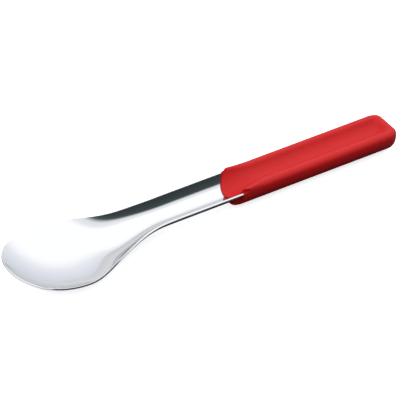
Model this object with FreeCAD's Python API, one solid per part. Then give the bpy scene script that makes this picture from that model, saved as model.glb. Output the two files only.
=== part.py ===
# Ice cream scoop: a stamped steel blade whose tang is held in a moulded plastic handle.
# x runs from the blade's tip (-x) to the end of the handle (+x), with x = 0 where the
# blade's shoulders meet the handle. y runs across and z up, with the bowl open upwards.
# Lengths are in millimetres, angles in degrees. The finished model is laid down on the
# undersides of the bowl and the handle.

import FreeCAD
import Part
import os
from math import acos, asin, atan2, cos, degrees, pi, radians, sin, sqrt, tan
from FreeCAD import Vector

# steel sheet
sheet = 1.2             # thickness of the steel

# bowl of the blade
blade_length = 150.0    # from the shoulders to the tip
nose_length = 34.0      # from the bowl's widest place to the tip
nose_corner = 45.0      # angle about the nose at which its round front meets its sides
bowl_half = 31.8        # half of the bowl's inner width
bowl_radius = 67.4      # radius across the bowl's hollow
bowl_floor = -12.5      # level of the bowl's floor inside
tip_rise = 10.9         # how far the floor climbs to the tip
tip_rise_length = 42.0  # the length in which it climbs
tip_rise_power = 2.67   # how late it climbs

# neck of the blade
neck_radius = 13.0      # radius across the neck's trough, inside
neck_lean = 64.67       # how far the trough's walls have turned up at the rims
neck_floor = -6.95      # level of the neck's floor inside
neck_straight = 44.0    # length of neck that keeps one width, from the shoulders
flare_power = 1.43      # how late the sides spread towards the bowl
flatten_lead = 3.0      # the trough begins to open out so far before the sides spread
flatten_past = 2.0      # and has opened out so far past the bowl's widest place
drop_gap = 25.5         # the floor is down so far before the bowl's widest place
drop_length = 40.5      # the length in which it falls

# tang, inside the handle
tang_half = 10.0        # half of its width
tang_length = 60.0      # from the shoulders to its end

# handle
handle_length = 110.0   # from the shoulders to its end
handle_proud = 0.085    # how far its sides stand out past the steel's
handle_wide = -0.7      # level at which it is widest
handle_crest = 2.8      # level of its two top crests
handle_bottom = -12.72  # level of its underside
side_round = 1.5        # height of the rounding from crest to side, against its width
side_round_most = 0.8   # and at most this share of the height from the widest level up
end_corner = 7.2        # radius of the rear corners, seen from above
end_top_round = 3.0     # rounding of the rear end's top edge
end_bottom_round = 4.0  # rounding of its bottom edge

# thumb trough in the handle's top
trough_floor = -1.1     # level of its floor along the handle
trough_radius = 9.8     # radius across its hollow
trough_crest = 3.5      # radius with which its sides roll over to the crests
trough_end_gap = 3.0    # from its closed end to the end of the handle
trough_end_slope = 5.0  # length in which it closes
front_cover = 0.9       # plastic above the steel at the handle's front
front_radius = 12.16    # radius across the trough there
front_crest = 0.8       # radius with which its sides roll over there
front_blend = 24.0      # length in which the front changes to the plain trough

# front of the handle
tongue_reach = 5.65     # how far the tongue runs out over the steel
tongue_radius = 13.0    # radius of its front, seen from above
lip_reach = 3.4         # how far the lip runs out under the steel
lip_radius = 11.0       # radius of its front, seen from above
lip_round = 1.5         # rounding of its bottom edge
lip_sink = 0.2          # level under the handle's underside at which this rounding starts
fit = 0.05              # clearance round the steel

# how closely the smooth faces are laid
spare_rows = 4          # rows past each end of the blade, so that it ends without a ripple
nose_rows = 12
body_rows = 40
tang_rows = 16
row_steps = 32          # steps in a row, from rim to rim
trough_steps = 9        # steps over half of the trough's hollow
crest_steps = 5         # steps from there to the crest
side_steps = 6          # steps round the side's top
under_steps = 8         # steps round half of the underside
blend_stations = 14     # sections of the handle in its front
plain_stations = 14     # sections along its plain length
end_stations = 10       # sections round its rear corners

# what follows from these
widest = nose_length - blade_length             # x of the bowl's widest place
neck_half = neck_radius * sin(radians(neck_lean))
neck_axis = neck_floor + neck_radius            # level of the trough's axis
neck_outer = neck_radius + sheet
handle_half = neck_outer * sin(radians(neck_lean)) + handle_proud
drop_end = widest + drop_gap                    # x at which the floor is down
front_room = 3.0                                # spare handle before the tongue, cut away again
front_start = -tongue_reach - front_room
spare = 1.0                                     # how far a cutting shape runs past what it cuts


def smooth(share):
    """A change from 0 to 1 with no slope and no curvature at its ends."""
    t = min(max(share, 0.0), 1.0)
    return t ** 3 * (10.0 - 15.0 * t + 6.0 * t * t)


def ease(share):
    """A change from 0 to 1 with no slope at its ends."""
    t = min(max(share, 0.0), 1.0)
    return t * t * (3.0 - 2.0 * t)


# Blade

def blade_half(x):
    """Half of the blade's inner width at x."""
    if x <= widest:
        return bowl_half * sqrt(max(0.0, 1.0 - ((widest - x) / nose_length) ** 2))
    share = max(0.0, -neck_straight - x) / (-neck_straight - widest)
    return neck_half + (bowl_half - neck_half) * ease(share ** flare_power)


def blade_radius(x):
    """Radius across the blade's hollow at x."""
    start = flatten_lead - neck_straight
    share = smooth((start - x) / (start - widest + flatten_past))
    return 1.0 / (1.0 / neck_radius + (1.0 / bowl_radius - 1.0 / neck_radius) * share)


def blade_floor(x):
    """Level of the blade's floor inside at x."""
    fall = (bowl_floor - neck_floor) * smooth((drop_end + drop_length - x) / drop_length)
    climb = max(0.0, tip_rise_length - blade_length - x) / tip_rise_length
    return neck_floor + fall + tip_rise * climb ** tip_rise_power


def blade_point(x, y, depth):
    """Point of the sheet over (x, y), at this depth below its inner face, square to the face."""
    step = 0.001
    radius = blade_radius(x)
    lean = asin(y / radius)
    radius_slope = (blade_radius(x + step) - blade_radius(x - step)) / (2.0 * step)
    floor_slope = (blade_floor(x + step) - blade_floor(x - step)) / (2.0 * step)
    normal = Vector(-floor_slope - radius_slope * (1.0 - 1.0 / cos(lean)), -tan(lean), 1.0)
    normal.normalize()
    return Vector(x, y, blade_floor(x) + radius * (1.0 - cos(lean))) - normal * depth


def row_sides():
    """Places across the blade, from -1 at one rim to 1 at the other."""
    return [2.0 * i / row_steps - 1.0 for i in range(row_steps + 1)]


def straight_row(x):
    """Places (x, y) from rim to rim at x, evenly spaced round the hollow."""
    lean = asin(blade_half(x) / blade_radius(x))
    return [(x, blade_radius(x) * sin(lean * side)) for side in row_sides()]


def nose_row(share):
    """Places from rim to rim in the nose, bowing out to its round front as share goes to 1."""
    corner = radians(nose_corner)
    end = 0.5 * pi - (0.5 * pi - corner) * share
    row = []
    for side, (_, straight_y) in zip(row_sides(), straight_row(widest)):
        bow = cos(corner * side) - cos(corner)
        round_y = bowl_half * sin(corner * side) / sin(corner)
        y = sin(end) * (straight_y + (round_y - straight_y) * share)
        row.append((widest - nose_length * (cos(end) + bow * share), y))
    return row


def blade_rows():
    """Rows from the round front to the end of the tang, with spare rows past both ends."""
    rows = [nose_row(1.0 - i / nose_rows) for i in range(-spare_rows, nose_rows)]
    rows += [straight_row(widest * (1.0 - i / body_rows)) for i in range(body_rows)]
    last = tang_rows + spare_rows
    return rows + [straight_row(tang_length * i / tang_rows) for i in range(last + 1)]


def sheet_face(rows, depth):
    """Smooth face at this depth in the sheet, without the spare rows."""
    patch = Part.BSplineSurface()
    patch.interpolate([[blade_point(x, y, depth) for x, y in row] for row in rows])
    knots = patch.getUKnots()
    patch.segment(knots[spare_rows], knots[-1 - spare_rows], 0.0, 1.0)
    return patch.toShape().Faces[0]


def make_blade():
    """The stamped sheet: two smooth faces, square-cut edges between them, and the narrowed tang."""
    rows = blade_rows()
    faces = [sheet_face(rows, depth) for depth in (0.0, sheet)]
    edges = zip(faces[0].Edges, faces[1].Edges)
    faces += [Part.makeRuledSurface(inner, outer).Faces[0] for inner, outer in edges]
    shell = Part.Shell(faces)
    shell.sewShape()
    blade = Part.Solid(shell)
    for low_y in (tang_half, -tang_half - neck_outer):
        corner = Vector(0.0, low_y, neck_axis - neck_outer - spare)
        blade = blade.cut(Part.makeBox(tang_length + spare, neck_outer, neck_outer + spare, corner))
    return blade.Solids[0]


# Handle

def end_rounding(x, radius):
    """How far an edge of this radius has drawn in at x, near the handle's rear end."""
    reach = min(max(0.0, x - (handle_length - radius)), radius)
    return radius - sqrt(radius * radius - reach * reach)


def trough_line(x):
    """Half of the trough's section at x, from its floor out to the crest, as (y, z) pairs."""
    front = ease(1.0 - (x + tongue_reach) / front_blend)
    radius = trough_radius + (front_radius - trough_radius) * front
    crest = trough_crest + (front_crest - trough_crest) * front
    floor = trough_floor + (neck_floor + front_cover - trough_floor) * front
    steepest = acos(1.0 - (handle_crest - floor) / (radius + crest))
    turns = [steepest * i / trough_steps for i in range(trough_steps + 1)]
    line = [(radius * sin(t), floor + radius * (1.0 - cos(t))) for t in turns]
    crest_y = (radius + crest) * sin(steepest)
    turns = [steepest * (1.0 - i / crest_steps) for i in range(1, crest_steps + 1)]
    line += [(crest_y - crest * sin(t), handle_crest - crest * (1.0 - cos(t))) for t in turns]
    closing = ease((x - handle_length + trough_end_gap + trough_end_slope) / trough_end_slope)
    return [(y, z + (handle_crest - z) * closing) for y, z in line]


def handle_section(x):
    """Closed outline of the handle at x, split at its two widest places into a top and an underside."""
    half_width = handle_half - end_rounding(x, end_corner)
    top = handle_crest - end_rounding(x, end_top_round)
    bottom = handle_bottom + end_rounding(x, end_bottom_round)

    def place(y, z):
        if z > handle_wide:
            z = handle_wide + (z - handle_wide) * (top - handle_wide) / (handle_crest - handle_wide)
        else:
            z = handle_wide + (handle_wide - z) * (bottom - handle_wide) / (handle_wide - handle_bottom)
        return Vector(x, y * half_width / handle_half, z)

    hollow = trough_line(x)
    crest_y = hollow[-1][0]
    wide = handle_half - crest_y
    tall = min(side_round_most * (handle_crest - handle_wide), side_round * wide)
    quarter = [0.5 * pi * i / side_steps for i in range(1, side_steps + 1)]
    side = [(crest_y + wide * sin(t), handle_crest - tall * (1.0 - cos(t))) for t in quarter]
    side.append((handle_half, 0.5 * (handle_wide + handle_crest - tall)))
    over = hollow + side
    depth = handle_wide - handle_bottom
    quarter = [0.5 * pi * i / under_steps for i in range(under_steps + 1)]
    under = [(handle_half * cos(t), handle_wide - depth * sin(t)) for t in quarter]
    points = [place(y, z) for y, z in under]
    points += [place(-y, z) for y, z in under[-2::-1]]
    points += [place(-y, z) for y, z in over[::-1]]
    points += [place(y, z) for y, z in over[1:]]
    curve = Part.BSplineCurve()
    curve.interpolate(Points=points, PeriodicFlag=True)
    knots = curve.getKnots()
    split = knots[2 * under_steps]
    return Part.Wire([curve.toShape(knots[0], split), curve.toShape(split, knots[-1])])


def handle_stations():
    """Places along x, closer together where the section changes."""
    blend_end = front_blend - tongue_reach
    corner_start = handle_length - end_corner
    closing_start = handle_length - trough_end_gap - trough_end_slope
    blend_step = (blend_end - front_start) / blend_stations
    stations = [front_start + blend_step * i for i in range(blend_stations)]
    for i in range(plain_stations + 1):
        share = 0.5 - 0.5 * cos(pi * i / plain_stations)
        stations.append(blend_end + (closing_start - blend_end) * share)
    stations.append(0.5 * (closing_start + corner_start))
    turns = [0.5 * pi * i / end_stations for i in range(end_stations + 1)]
    return stations + [corner_start + end_corner * sin(t) for t in turns]


def make_handle_skin():
    return Part.makeLoft([handle_section(x) for x in handle_stations()], True, False)


# Front of the handle, and the steel's pocket

def trough_solid(radius, start, end, reach):
    """The lower half of a round bar on the neck's axis, at most as wide as reach each way."""
    along = Vector(1.0, 0.0, 0.0)
    bar = Part.makeCylinder(radius, end - start, Vector(start, 0.0, neck_axis), along)
    corner = Vector(start, -reach, neck_axis - radius)
    return bar.common(Part.makeBox(end - start, 2.0 * reach, radius, corner))


def steel_pocket():
    """The space that the neck and the tang take, with the clearance round them."""
    outer = neck_outer + fit
    inner = neck_radius - fit
    neck = trough_solid(outer, front_start - spare, fit, outer)
    neck = neck.cut(trough_solid(inner, front_start - 2.0 * spare, fit + spare, outer))
    tang = trough_solid(outer, 0.0, tang_length + fit, tang_half + fit)
    tang = tang.cut(trough_solid(inner, -spare, tang_length + fit + spare, outer))
    return neck.fuse(tang)


def block(start, end, low, high):
    """A box wider than the handle."""
    corner = Vector(start, -2.0 * handle_half, low)
    return Part.makeBox(end - start, 4.0 * handle_half, high - low, corner)


def above_steel():
    """What is open above the neck, out to the round front of the tongue."""
    rim = neck_axis - neck_radius * cos(radians(neck_lean))
    middle = neck_radius + 0.5 * sheet
    end = tongue_radius
    top = handle_crest + spare
    space = trough_solid(middle, front_start - spare, end, neck_half)
    space = space.fuse(block(front_start - spare, end, rim, top))
    centre = Vector(tongue_radius - tongue_reach, 0.0, neck_axis - neck_outer)
    tongue = Part.makeCylinder(tongue_radius, top + spare - centre.z, centre)
    behind = block(centre.x, end + spare, centre.z, top + spare)
    return space.cut(tongue).cut(behind)


def below_steel():
    """What is open in front of the lip, whose round front runs back to the steel's shoulders."""
    low = handle_bottom - spare
    middle = neck_radius + 0.5 * sheet
    centre = Vector(lip_radius - lip_reach, 0.0, handle_bottom - lip_sink)
    lip = Part.makeCylinder(lip_radius, neck_axis + spare - centre.z, centre)
    bottom_edge = min(lip.Edges, key=lambda edge: edge.CenterOfMass.z)
    lip = lip.makeFillet(lip_round, [bottom_edge])
    space = block(front_start - spare, fit, low, neck_axis)
    space = space.cut(trough_solid(middle, front_start - 2.0 * spare, fit + spare, middle))
    return space.cut(lip)


def make_handle():
    body = make_handle_skin()
    for tool in (steel_pocket(), above_steel(), below_steel()):
        body = body.cut(tool)
    return body.Solids[0]


# Lay the scoop down as it comes to rest, on the bowl's underside and the handle's

def lie_down(solids):
    """Tip the model so that both undersides reach the same level, and centre it on its base."""
    handle_contact = handle_length - end_bottom_round
    drop = handle_bottom - (bowl_floor - sheet)
    tilt = degrees(atan2(drop, handle_contact - drop_end))
    for solid in solids:
        solid.rotate(Vector(0.0, 0.0, 0.0), Vector(0.0, 1.0, 0.0), tilt)
    box = Part.makeCompound(solids).optimalBoundingBox()
    for solid in solids:
        solid.translate(Vector(-box.Center.x, 0.0, -box.ZMin))


def main():
    os.makedirs("parts", exist_ok=True)
    pieces = {"blade": make_blade(), "handle": make_handle()}
    lie_down(list(pieces.values()))
    for name, shape in pieces.items():
        box = shape.optimalBoundingBox()
        print(name, len(shape.Solids), "solid", round(shape.Volume, 1), "mm3, valid", shape.isValid())
        print("  from", [round(v, 2) for v in (box.XMin, box.YMin, box.ZMin)],
              "to", [round(v, 2) for v in (box.XMax, box.YMax, box.ZMax)])
        shape.exportStep("parts/" + name + ".step")


if __name__ == "__main__":
    main()
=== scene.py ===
from math import asin, atan2, cos, pi, radians, sin, sqrt, tan

import bpy
from mathutils import Matrix, Vector


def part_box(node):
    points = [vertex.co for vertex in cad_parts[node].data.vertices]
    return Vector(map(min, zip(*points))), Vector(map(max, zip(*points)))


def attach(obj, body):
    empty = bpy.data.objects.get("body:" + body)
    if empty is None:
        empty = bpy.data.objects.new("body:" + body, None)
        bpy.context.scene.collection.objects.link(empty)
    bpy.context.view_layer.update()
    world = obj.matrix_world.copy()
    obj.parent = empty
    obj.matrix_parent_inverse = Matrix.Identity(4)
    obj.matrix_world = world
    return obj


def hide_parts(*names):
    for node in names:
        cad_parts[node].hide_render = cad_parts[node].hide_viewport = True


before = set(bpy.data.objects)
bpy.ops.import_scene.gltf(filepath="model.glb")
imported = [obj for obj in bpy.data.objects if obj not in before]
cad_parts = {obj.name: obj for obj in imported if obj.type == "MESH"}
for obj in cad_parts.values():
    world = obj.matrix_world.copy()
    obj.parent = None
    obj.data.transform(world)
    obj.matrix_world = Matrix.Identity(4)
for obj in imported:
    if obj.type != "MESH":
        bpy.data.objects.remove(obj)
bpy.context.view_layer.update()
mm = 0.001
print("frame loaded")

# The stamped steel sheet, in millimetres, as it lies level: x = 0 at its shoulders, where the tang begins,
# the tip at -x, and the bowl open upwards.
blade = {
    "sheet": 1.2, "edgeRound": 0.3,                                # thickness, and rounding of its edges
    "length": 150.0, "noseLength": 34.0,                           # shoulders to tip; its half-oval front
    "bowlHalf": 31.8, "bowlRadius": 67.4, "bowlFloor": -12.5,      # half width, cross curve and level
    "tipRise": 10.9, "tipRiseLength": 42.0, "tipRisePower": 2.67,  # how the floor climbs to the tip
    "neckHalf": 11.75, "neckRadius": 13.0, "neckFloor": -6.95,     # as for the bowl, in the neck's trough
    "neckStraight": 44.0, "flarePower": 1.43,                      # straight run, then how gently it flares
    "flattenStart": 41.0, "flattenEnd": 118.0,                     # where the trough opens to the bowl
    "dropStart": 50.0, "dropEnd": 90.5,                            # where the floor goes down to the bowl's
    "tangHalf": 10.0, "tangLength": 60.0,                          # the narrower run inside the handle
    "noseRows": 44, "bodyRows": 170, "tangRows": 30,               # rows of faces, tip to tang's end
    "tangColumns": 48, "edgeColumns": 7,                           # faces across the tang, and on to a rim
    "noseFan": 0.25 * pi, "roundSteps": 4,                         # fan of the nose's rows; edge steps
}
widestX = blade["noseLength"] - blade["length"]
shoulderRow = blade["noseRows"] + blade["bodyRows"]
# what the scoop lies on besides the bowl: the handle's underside, level up to where its end rounds up
handleRest = {"bottom": -12.72, "end": 106.0}


def smooth(share):
    t = min(max(share, 0.0), 1.0)
    return t ** 3 * (10.0 - 15.0 * t + 6.0 * t * t)


def ease(share):
    t = min(max(share, 0.0), 1.0)
    return t * t * (3.0 - 2.0 * t)


def bladeHalf(x):
    if x <= widestX:
        return blade["bowlHalf"] * sqrt(max(0.0, 1.0 - ((widestX - x) / blade["noseLength"]) ** 2))
    flareLength = -widestX - blade["neckStraight"]
    share = max(0.0, -blade["neckStraight"] - x) / flareLength
    return blade["neckHalf"] + (blade["bowlHalf"] - blade["neckHalf"]) * ease(share ** blade["flarePower"])


def bladeRadius(x):
    start, end = blade["flattenStart"], blade["flattenEnd"]
    share = smooth((-start - x) / (end - start))
    neckCurve, bowlCurve = 1.0 / blade["neckRadius"], 1.0 / blade["bowlRadius"]
    return 1.0 / (neckCurve + (bowlCurve - neckCurve) * share)


def bladeFloor(x):
    start, end = blade["dropStart"], blade["dropEnd"]
    fall = (blade["bowlFloor"] - blade["neckFloor"]) * smooth((-start - x) / (end - start))
    climb = max(0.0, blade["tipRiseLength"] - blade["length"] - x) / blade["tipRiseLength"]
    return blade["neckFloor"] + fall + blade["tipRise"] * climb ** blade["tipRisePower"]


def bladePlace(x, y):
    # the point of the inner face over (x, y), and the direction square to the sheet there
    step = 0.001
    radius = bladeRadius(x)
    lean = asin(y / radius)
    radiusSlope = (bladeRadius(x + step) - bladeRadius(x - step)) / (2.0 * step)
    floorSlope = (bladeFloor(x + step) - bladeFloor(x - step)) / (2.0 * step)
    normal = Vector((-floorSlope - radiusSlope * (1.0 - 1.0 / cos(lean)), -tan(lean), 1.0)).normalized()
    return Vector((x, y, bladeFloor(x) + radius * (1.0 - cos(lean)))), normal


def rowSides():
    # places across a row, -1 and 1 at the rims: even steps over the tang's width, and from there to a rim
    rim = asin(blade["neckHalf"] / blade["neckRadius"])
    tang = asin(blade["tangHalf"] / blade["neckRadius"]) / rim
    outer, inner = blade["edgeColumns"], blade["tangColumns"]
    left = [-1.0 + (1.0 - tang) * i / outer for i in range(outer)]
    middle = [-tang + 2.0 * tang * i / inner for i in range(inner + 1)]
    return left + middle + [-side for side in reversed(left)]


def straightRow(x, sides):
    lean = asin(bladeHalf(x) / bladeRadius(x))
    return [(x, bladeRadius(x) * sin(lean * side)) for side in sides]


def noseRow(share, sides):
    # share 0 is the straight row at the widest place, and share 1 is the nose's round front
    fan, noseLength = blade["noseFan"], blade["noseLength"]
    end = 0.5 * pi - (0.5 * pi - fan) * share
    row = []
    for side, (_, straightY) in zip(sides, straightRow(widestX, sides)):
        bow = cos(fan * side) - cos(fan)
        roundY = blade["bowlHalf"] * sin(fan * side) / sin(fan)
        row.append((widestX - noseLength * (cos(end) + bow * share),
                    sin(end) * (straightY + (roundY - straightY) * share)))
    return row


def bladeRows(sides):
    nose, body, tang = blade["noseRows"], blade["bodyRows"], blade["tangRows"]
    rows = [noseRow(1.0 - i / nose, sides) for i in range(nose)]
    rows += [straightRow(widestX * (1.0 - i / body), sides) for i in range(body)]
    return rows + [straightRow(blade["tangLength"] * i / tang, sides) for i in range(tang + 1)]


def edgeLoop(rowCount, columnCount):
    # places (row, column) once round the sheet: nose, +y rim, shoulder, tang, shoulder, -y rim
    last, end = columnCount - 1, rowCount - 1
    inset = blade["edgeColumns"]
    loop = [(0, j) for j in range(last)]
    loop += [(i, last) for i in range(shoulderRow)]
    loop += [(shoulderRow, j) for j in range(last, last - inset, -1)]
    loop += [(i, last - inset) for i in range(shoulderRow, end)]
    loop += [(end, j) for j in range(last - inset, inset, -1)]
    loop += [(i, inset) for i in range(end, shoulderRow, -1)]
    loop += [(shoulderRow, j) for j in range(inset, 0, -1)]
    return loop + [(i, 0) for i in range(shoulderRow, 0, -1)]


def edgeDirections(grid, loop):
    # at each place of the loop, the direction that points off the sheet, square to its edge
    outward = {}
    for k, (i, j) in enumerate(loop):
        before, after = loop[k - 1], loop[(k + 1) % len(loop)]
        along = (grid[after[0]][after[1]][0] - grid[before[0]][before[1]][0]).normalized()
        outward[i, j] = grid[i][j][1].cross(along).normalized()
    return outward


def addBroadFaces(form, grid, outward):
    # the inner and the outer face, which stop short of the edge by its rounding
    inset, last = blade["edgeColumns"], len(grid[0]) - 1
    index = {}
    for face, depth, sign in (("inner", 0.0, 1.0), ("outer", blade["sheet"], -1.0)):
        for i, row in enumerate(grid):
            for j, (point, normal) in enumerate(row):
                if i > shoulderRow and not inset <= j <= last - inset:
                    continue
                drawnIn = outward.get((i, j), Vector()) * blade["edgeRound"]
                index[face, i, j] = len(form["points"])
                form["points"].append(point - normal * depth - drawnIn)
                form["normals"].append(normal * sign)
    for i in range(len(grid) - 1):
        start, end = (0, last) if i < shoulderRow else (inset, last - inset)
        for j in range(start, end):
            corners = ((i, j), (i, j + 1), (i + 1, j + 1), (i + 1, j))
            form["faces"].append([index["inner", a, b] for a, b in reversed(corners)])
            form["faces"].append([index["outer", a, b] for a, b in corners])
    return index


def addEdge(form, grid, loop, outward, index):
    # the rounded edge: a quarter turn off the inner face, the flat, and a quarter turn to the outer face
    sheet, edgeRound, steps = blade["sheet"], blade["edgeRound"], blade["roundSteps"]
    profile = [(0.5 * pi * s / steps, edgeRound) for s in range(1, steps + 1)]
    profile += [(0.5 * pi * (1.0 + s / steps), sheet - edgeRound) for s in range(steps)]
    strips = []
    for i, j in loop:
        point, normal = grid[i][j]
        strip = [index["inner", i, j]]
        for turn, depth in profile:
            direction = normal * cos(turn) + outward[i, j] * sin(turn)
            strip.append(len(form["points"]))
            centre = point - outward[i, j] * edgeRound - normal * depth
            form["points"].append(centre + direction * edgeRound)
            form["normals"].append(direction)
        strips.append(strip + [index["outer", i, j]])
    for k, strip in enumerate(strips):
        other = strips[(k + 1) % len(strips)]
        form["faces"] += [[strip[s], other[s], other[s + 1], strip[s + 1]] for s in range(len(strip) - 1)]


def layDown():
    # the scoop tips until the handle's underside and the bowl's are on one level
    bowlX = -blade["dropEnd"]
    drop = handleRest["bottom"] - (blade["bowlFloor"] - blade["sheet"])
    tilt = Matrix.Rotation(atan2(drop, handleRest["end"] - bowlX), 4, "Y")
    tip, normal = bladePlace(-blade["length"], 0.0)
    tipPlace = tilt @ (tip - normal * blade["sheet"])
    bowl, normal = bladePlace(bowlX, 0.0)
    bowlPlace = tilt @ (bowl - normal * blade["sheet"])
    low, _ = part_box("blade")
    return Matrix.Translation((low.x / mm - tipPlace.x, 0.0, low.z / mm - bowlPlace.z)) @ tilt


def makeBlade(place):
    sides = rowSides()
    grid = [[bladePlace(x, y) for x, y in row] for row in bladeRows(sides)]
    loop = edgeLoop(len(grid), len(sides))
    outward = edgeDirections(grid, loop)
    form = {"points": [], "normals": [], "faces": []}
    index = addBroadFaces(form, grid, outward)
    addEdge(form, grid, loop, outward, index)
    mesh = bpy.data.meshes.new("steelBlade")
    mesh.from_pydata([place @ point * mm for point in form["points"]], [], form["faces"])
    mesh.polygons.foreach_set("use_smooth", [True] * len(mesh.polygons))
    turn = place.to_3x3()
    mesh.normals_split_custom_set_from_vertices([turn @ normal for normal in form["normals"]])
    piece = bpy.data.objects.new("steelBlade", mesh)
    bpy.context.scene.collection.objects.link(piece)
    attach(piece, "root")
    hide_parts("blade")
    mesh.materials.append(polishedStainlessSteel())
    print("blade made:", len(form["points"]), "points")


def linear(hexColour):
    # an sRGB hex colour as Blender's linear values
    parts = [int(hexColour[i:i + 2], 16) / 255.0 for i in (1, 3, 5)]
    return [c / 12.92 if c <= 0.04045 else ((c + 0.055) / 1.055) ** 2.4 for c in parts] + [1.0]


def addNode(tree, kind, settings=None, links=None, **attributes):
    # one node with its attributes, its sockets' values, and links to its sockets from other nodes
    node = tree.nodes.new(kind)
    for name, value in attributes.items():
        setattr(node, name, value)
    for name, value in (settings or {}).items():
        node.inputs[name].default_value = value
    for name, source in (links or {}).items():
        tree.links.new(source, node.inputs[name])
    return node


def newMaterial(name):
    material = bpy.data.materials.new(name)
    material.use_nodes = True
    material.node_tree.nodes.clear()
    return material, material.node_tree


# Mirror-polished stainless steel, stamped and then buffed along its length. The eye sees sharp, slightly
# grey reflections, and from close by the faint lengthwise lines of the buffing wheel. The real lines are a
# few hundredths of a millimetre apart, too fine to show, so they are drawn about ten times as coarse.
steelFinish = {
    "colour": "#C7C8CA", "roughness": 0.07, "roughnessSpread": 0.03,
    "lineSpacing": 0.25, "lineLength": 30.0, "lineDetail": 3.0,  # millimetres, and octaves of noise
    "lineDepth": 0.0006, "lineStrength": 0.2,
}


def polishedStainlessSteel():
    material, tree = newMaterial("polishedStainlessSteel")
    place = addNode(tree, "ShaderNodeTexCoord").outputs["Object"]
    along, across = 1.0 / (steelFinish["lineLength"] * mm), 1.0 / (steelFinish["lineSpacing"] * mm)
    lines = addNode(tree, "ShaderNodeMapping", {"Scale": (along, across, across)}, {"Vector": place})
    buffing = addNode(tree, "ShaderNodeTexNoise", {"Scale": 1.0, "Detail": steelFinish["lineDetail"]},
                      {"Vector": lines.outputs["Vector"]}).outputs["Fac"]
    rough = addNode(tree, "ShaderNodeMapRange",
                    {"To Min": steelFinish["roughness"],
                     "To Max": steelFinish["roughness"] + steelFinish["roughnessSpread"]},
                    {"Value": buffing})
    bump = addNode(tree, "ShaderNodeBump",
                   {"Strength": steelFinish["lineStrength"], "Distance": steelFinish["lineDepth"] * mm},
                   {"Height": buffing})
    shader = addNode(tree, "ShaderNodeBsdfPrincipled",
                     {"Base Color": linear(steelFinish["colour"]), "Metallic": 1.0},
                     {"Roughness": rough.outputs["Result"], "Normal": bump.outputs["Normal"]})
    addNode(tree, "ShaderNodeOutputMaterial", None, {"Surface": shader.outputs["BSDF"]})
    return material


# Injection-moulded polypropylene, dyed right through: a deep even red with a soft satin sheen, from the
# spark-eroded texture of the mould. Its real grain is some hundredths of a millimetre, too fine to show, so
# it is drawn about ten times as coarse.
gripFinish = {
    "colour": "#BC0E10", "deeper": "#B30D0F", "cloudSize": 18.0,  # two close reds, and their clouds' width
    "roughness": 0.58, "refraction": 1.49, "reflection": 0.25,
    "grainSize": 0.35, "grainDepth": 0.008, "grainStrength": 0.3,  # sizes in millimetres
    "noiseDetail": 2.0,                                            # octaves of noise
}


def mouldedRedPlastic():
    material, tree = newMaterial("mouldedRedPlastic")
    place = addNode(tree, "ShaderNodeTexCoord").outputs["Object"]
    detail = gripFinish["noiseDetail"]
    cloud = addNode(tree, "ShaderNodeTexNoise",
                    {"Scale": 1.0 / (gripFinish["cloudSize"] * mm), "Detail": detail}, {"Vector": place})
    # sockets 6 and 7 are the mix's two colours, and output 2 is the mixed one
    colour = addNode(tree, "ShaderNodeMix",
                     {6: linear(gripFinish["colour"]), 7: linear(gripFinish["deeper"])},
                     {"Factor": cloud.outputs["Fac"]}, data_type="RGBA")
    grain = addNode(tree, "ShaderNodeTexNoise",
                    {"Scale": 1.0 / (gripFinish["grainSize"] * mm), "Detail": detail}, {"Vector": place})
    bump = addNode(tree, "ShaderNodeBump",
                   {"Strength": gripFinish["grainStrength"], "Distance": gripFinish["grainDepth"] * mm},
                   {"Height": grain.outputs["Fac"]})
    shader = addNode(tree, "ShaderNodeBsdfPrincipled",
                     {"Roughness": gripFinish["roughness"], "IOR": gripFinish["refraction"],
                      "Specular IOR Level": gripFinish["reflection"]},
                     {"Base Color": colour.outputs[2], "Normal": bump.outputs["Normal"]})
    addNode(tree, "ShaderNodeOutputMaterial", None, {"Surface": shader.outputs["BSDF"]})
    return material


def dressGrip(grip):
    # the handle keeps its solid's form, with smooth shading
    grip.data.materials.clear()
    grip.data.materials.append(mouldedRedPlastic())
    for polygon in grip.data.polygons:
        polygon.use_smooth = True
    print("grip dressed")


# The photograph's camera, in the level blade's millimetres: two angles, the distance from the shoulders, the
# lens in pixels of the picture, and how many pixels the view is slid sideways and up.
camera = {
    "azimuth": -32.05, "elevation": 36.92, "distance": 2159.56,
    "picture": 400.0, "focalPixels": 3708.6, "slidePixelsX": 32.76, "slidePixelsY": -16.59,
    "sensor": 36.0, "clipStart": 0.1, "clipEnd": 20.0,  # the sensor in millimetres, the clips in metres
}


def makeCamera(place):
    azimuth, elevation = radians(camera["azimuth"]), radians(camera["elevation"])
    right = Vector((cos(azimuth), sin(azimuth), 0.0))
    back = Vector((sin(azimuth) * cos(elevation), -cos(azimuth) * cos(elevation), sin(elevation)))
    up = back.cross(right)
    pixel = camera["distance"] / camera["focalPixels"]
    location = back * camera["distance"]
    location += up * (camera["slidePixelsY"] * pixel) - right * (camera["slidePixelsX"] * pixel)
    data = bpy.data.cameras.new("camera")
    data.sensor_width = camera["sensor"]
    data.lens = camera["focalPixels"] * camera["sensor"] / camera["picture"]
    data.clip_start, data.clip_end = camera["clipStart"], camera["clipEnd"]
    holder = bpy.data.objects.new("camera", data)
    bpy.context.scene.collection.objects.link(holder)
    view = place @ Matrix.Translation(location) @ Matrix((right, up, back)).transposed().to_4x4()
    view.translation = view.translation * mm
    holder.matrix_world = view
    bpy.context.scene.camera = holder
    print("camera set")


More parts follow.
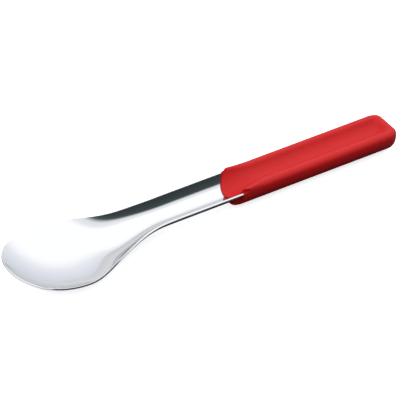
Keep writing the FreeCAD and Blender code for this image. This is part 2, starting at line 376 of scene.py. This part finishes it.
# The studio: a white tent overhead that greys towards the horizon, with a dark curtain on the camera's right.
studio = {
    "strength": 1.74, "backdrop": 1.0,
    # the tent's tone by height, from -1 straight down to 1 straight up
    "tent": [(-0.3, "#BCC0C7"), (0.0, "#C0C5CC"), (0.1, "#CCD0D7"), (0.3, "#DADCE2"), (0.47, "#E6E8EC"),
             (0.6, "#F8F8FA"), (0.7, "#FFFFFF")],
    # the curtain's tone by how squarely a direction points at it, up to 1 at its middle
    "curtain": [(0.28, "#FFFFFF"), (0.38, "#E8E9EC"), (0.5, "#DFE0E3"), (0.55, "#A8ADB0"), (0.59, "#485051"),
                (0.7, "#3A4242")],
    "curtainAzimuth": -71.5,
    "curtainThin": 0.38,  # matt surfaces see the curtain thinner by this share than the polished steel does
}


def setStops(ramp, stops):
    # the ramp's 0 to 1 stands for values from -1 to 1
    steps = ramp.color_ramp.elements
    steps.remove(steps[1])
    (firstValue, firstColour), *others = stops
    steps[0].position = 0.5 + 0.5 * firstValue
    steps[0].color = linear(firstColour)
    for value, colour in others:
        steps.new(0.5 + 0.5 * value).color = linear(colour)


def makeWorld():
    world = bpy.data.worlds.new("studio")
    bpy.context.scene.world = world
    world.use_nodes = True
    tree = world.node_tree
    tree.nodes.clear()
    direction = addNode(tree, "ShaderNodeTexCoord").outputs["Generated"]
    height = addNode(tree, "ShaderNodeSeparateXYZ", None, {"Vector": direction}).outputs["Z"]
    turn = radians(studio["curtainAzimuth"])
    facing = addNode(tree, "ShaderNodeVectorMath", {1: (cos(turn), sin(turn), 0.0)}, {0: direction},
                     operation="DOT_PRODUCT").outputs["Value"]
    tones = []
    for value, stops in ((height, studio["tent"]), (facing, studio["curtain"])):
        scaled = addNode(tree, "ShaderNodeMapRange", {"From Min": -1.0, "From Max": 1.0}, {"Value": value})
        ramp = addNode(tree, "ShaderNodeValToRGB", None, {"Fac": scaled.outputs["Result"]})
        setStops(ramp, stops)
        tones.append(ramp.outputs["Color"])
    path = addNode(tree, "ShaderNodeLightPath")
    weight = addNode(tree, "ShaderNodeMath", {1: -studio["curtainThin"], 2: 1.0},
                     {0: path.outputs["Is Diffuse Ray"]}, operation="MULTIPLY_ADD")
    tone = addNode(tree, "ShaderNodeMix", None, {"Factor": weight.outputs[0], 6: tones[0], 7: tones[1]},
                   data_type="RGBA", blend_type="MULTIPLY")
    light = addNode(tree, "ShaderNodeBackground", {"Strength": studio["strength"]},
                    {"Color": tone.outputs[2]})
    white = addNode(tree, "ShaderNodeBackground",
                    {"Color": linear("#FFFFFF"), "Strength": studio["backdrop"]})
    seen = addNode(tree, "ShaderNodeMixShader", None,
                   {0: path.outputs["Is Camera Ray"], 1: light.outputs[0], 2: white.outputs[0]})
    addNode(tree, "ShaderNodeOutputWorld", None, {"Surface": seen.outputs[0]})
    print("studio light made")


# The floor is white to the camera and keeps the scoop's soft shadow. In the steel it is a quiet grey with
# painted shade close under the scoop, darkened by ambient occlusion, and it throws little light back up.
floorFinish = {
    "size": 4.0,  # metres
    "colour": "#F2F2F2", "glow": 0.72,
    # painted shade: the floor's grey in the steel darkens towards this near-black where ambient occlusion
    # finds the scoop close by
    "inSteel": "#B4B7BC", "paintedShadeUnderScoop": "#1C1E20", "bounce": "#1C1C1C",
    "shadowReach": 60.0, "shadowPower": 2.0, "shadowSamples": 8,  # the reach in millimetres
}


def paleFloor():
    material, tree = newMaterial("paleFloor")
    shown = addNode(tree, "ShaderNodeBsdfDiffuse", {"Color": linear(floorFinish["colour"])})
    glow = addNode(tree, "ShaderNodeEmission", {"Color": linear("#FFFFFF"), "Strength": floorFinish["glow"]})
    white = addNode(tree, "ShaderNodeAddShader", None, {0: shown.outputs[0], 1: glow.outputs[0]})
    # painted shade: ambient occlusion darkens the floor's grey, as the steel sees it, close under the scoop
    near = addNode(tree, "ShaderNodeAmbientOcclusion", {"Distance": floorFinish["shadowReach"] * mm},
                   samples=floorFinish["shadowSamples"])
    paintedShadeMask = addNode(tree, "ShaderNodeMath", {1: floorFinish["shadowPower"]}, {0: near.outputs["AO"]},
                       operation="POWER")
    tone = addNode(tree, "ShaderNodeMix",
                   {6: linear(floorFinish["paintedShadeUnderScoop"]), 7: linear(floorFinish["inSteel"])},
                   {"Factor": paintedShadeMask.outputs[0]}, data_type="RGBA")
    grey = addNode(tree, "ShaderNodeBsdfDiffuse", None, {"Color": tone.outputs[2]})
    bounce = addNode(tree, "ShaderNodeBsdfDiffuse", {"Color": linear(floorFinish["bounce"])})
    path = addNode(tree, "ShaderNodeLightPath")
    unseen = addNode(tree, "ShaderNodeMixShader", None,
                     {0: path.outputs["Is Glossy Ray"], 1: bounce.outputs[0], 2: grey.outputs[0]})
    surface = addNode(tree, "ShaderNodeMixShader", None,
                      {0: path.outputs["Is Camera Ray"], 1: unseen.outputs[0], 2: white.outputs[0]})
    addNode(tree, "ShaderNodeOutputMaterial", None, {"Surface": surface.outputs[0]})
    return material


def makeFloor():
    half = 0.5 * floorFinish["size"]
    mesh = bpy.data.meshes.new("floor")
    mesh.from_pydata([(-half, -half, 0.0), (half, -half, 0.0), (half, half, 0.0), (-half, half, 0.0)],
                     [], [(0, 1, 2, 3)])
    mesh.materials.append(paleFloor())
    floor = bpy.data.objects.new("floor", mesh)
    bpy.context.scene.collection.objects.link(floor)
    print("floor made")


place = layDown()
makeCamera(place)
makeWorld()
makeFloor()
makeBlade(place)
dressGrip(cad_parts["handle"])

bpy.context.scene.view_settings.view_transform = "Standard"
print("all pieces made")
